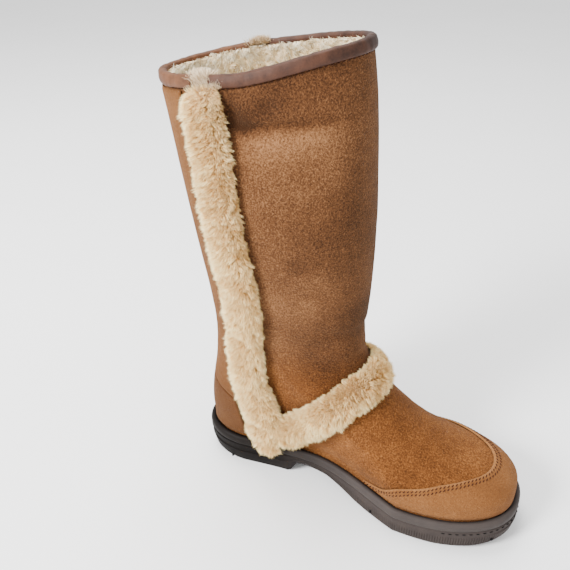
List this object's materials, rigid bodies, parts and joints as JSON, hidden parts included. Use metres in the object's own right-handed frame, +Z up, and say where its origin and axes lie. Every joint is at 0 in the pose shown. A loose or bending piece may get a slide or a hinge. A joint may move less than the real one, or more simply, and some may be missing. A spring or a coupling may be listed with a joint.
{
  "type": "sheepskin boot",
  "caption": "Tall left sheepskin boot with a hollow suede upper, toe bumper, heel counter, fleece strips and ankle band, bound collar and a lugged cup sole.",
  "frame": {"origin": "on the floor under the middle of the heel tread", "axes": "+X towards the toe, +Y towards the wearer's left, +Z up the shaft"},
  "size_m": [0.2959, 0.1367, 0.3611],
  "materials": {
    "outsole_rubber": "matt dark brown-grey moulded rubber",
    "rim_rubber": "satin dark brown-grey moulded rubber",
    "insole_fleece": "cream fleece",
    "upper_suede": "chestnut suede with a short nap",
    "overlay_suede": "lighter chestnut suede, smoother",
    "fleece": "deep cream sheepskin fleece",
    "binding_leather": "dark brown smooth leather"
  },
  "bodies": {
    "root": {"outsole": "outsole_rubber", "welt_rim": "rim_rubber", "insole": "insole_fleece", "upper": "upper_suede", "toe_bumper": "overlay_suede", "heel_counter": "overlay_suede", "back_stay": "overlay_suede", "fur_strip_medial": "fleece", "fur_strip_lateral": "fleece", "fur_ankle_band": "fleece", "collar_binding_front": "binding_leather", "collar_binding_back": "binding_leather"}
  },
  "joints": []
}
